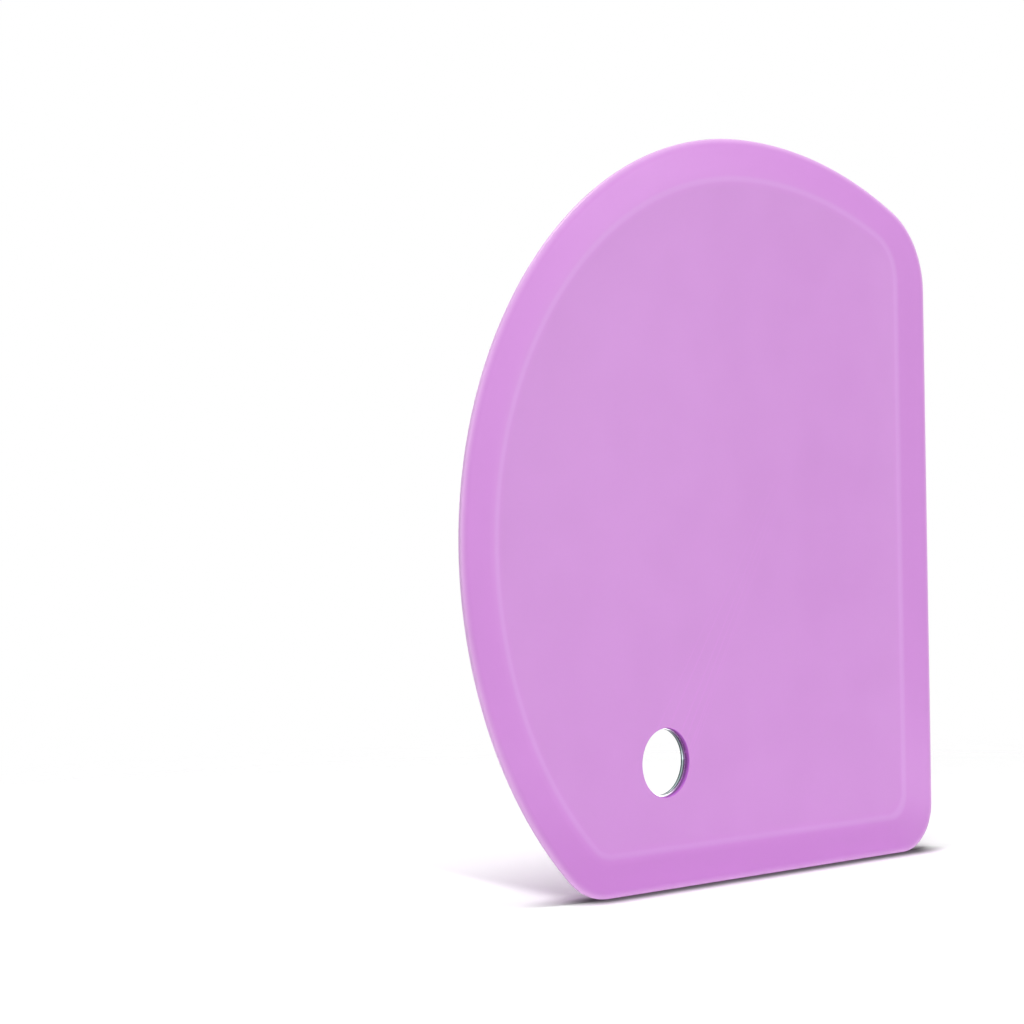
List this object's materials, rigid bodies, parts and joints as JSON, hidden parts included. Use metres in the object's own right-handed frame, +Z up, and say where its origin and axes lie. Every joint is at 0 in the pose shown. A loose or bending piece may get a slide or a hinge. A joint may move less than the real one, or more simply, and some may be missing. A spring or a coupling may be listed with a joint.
{
  "type": "bowl scraper",
  "caption": "D-shaped bowl scraper: a silicone cover with a thin flexible border, moulded round a stiff steel core that shows in its hanging hole.",
  "frame": {"origin": "middle of the bounding box's base: on the ground, half way along the width and through the thickness", "axes": "+Z up, +X along the straight bottom edge towards the straight scraping side, -Y out of the front face"},
  "size_m": [0.113, 0.0026, 0.12],
  "materials": {
    "silicone": "satin, lilac",
    "steel": "rolled stainless sheet"
  },
  "bodies": {
    "root": {"silicone_cover": "silicone", "steel_core": "steel"}
  },
  "joints": []
}
